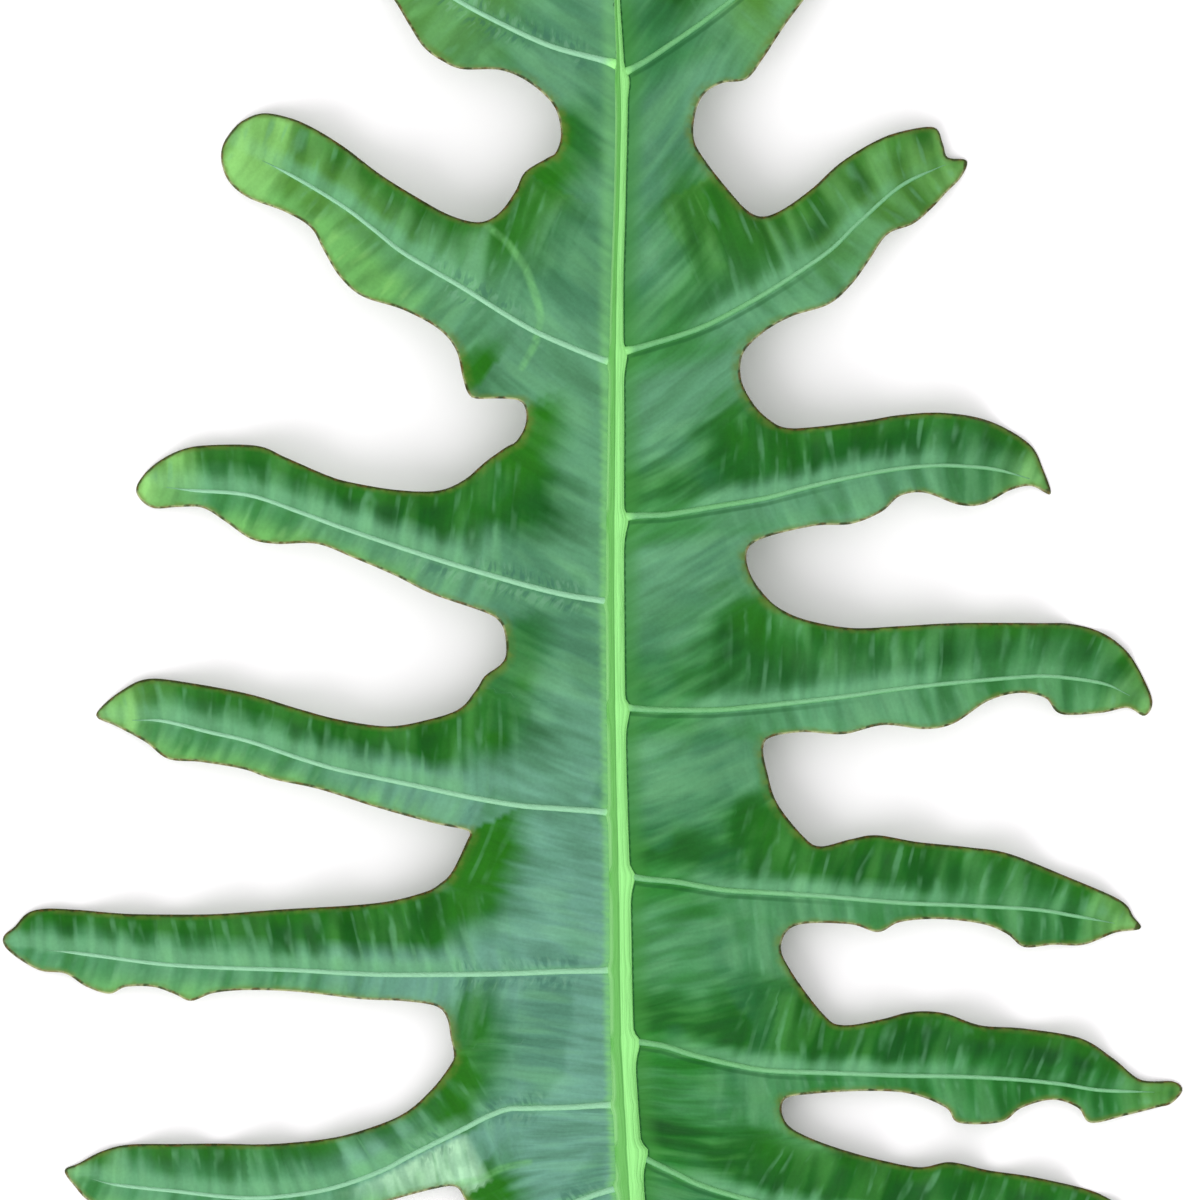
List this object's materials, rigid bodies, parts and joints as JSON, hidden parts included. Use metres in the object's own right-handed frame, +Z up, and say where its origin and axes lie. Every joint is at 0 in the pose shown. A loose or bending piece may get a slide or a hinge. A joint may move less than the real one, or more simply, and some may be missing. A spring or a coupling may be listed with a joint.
{
  "type": "deeply lobed alocasia leaf",
  "caption": "Large picked leaf lying face up: deeply cut wavy lobes on both sides of a raised pale midrib, with side veins and a cut petiole.",
  "frame": {"origin": "on the underside where the petiole meets the blade, on the surface that the leaf lies on", "axes": "+Y towards the leaf's tip, +X to the right seen from above, +Z up"},
  "size_m": [0.472, 0.9073, 0.0286],
  "materials": {
    "leaf": "Semi-gloss waxy green blade with lighter streaks, pale mint side veins, a lime green midrib and petiole, a paler dull underside and a thin brown margin."
  },
  "bodies": {
    "root": {"leaf": "leaf"}
  },
  "joints": []
}
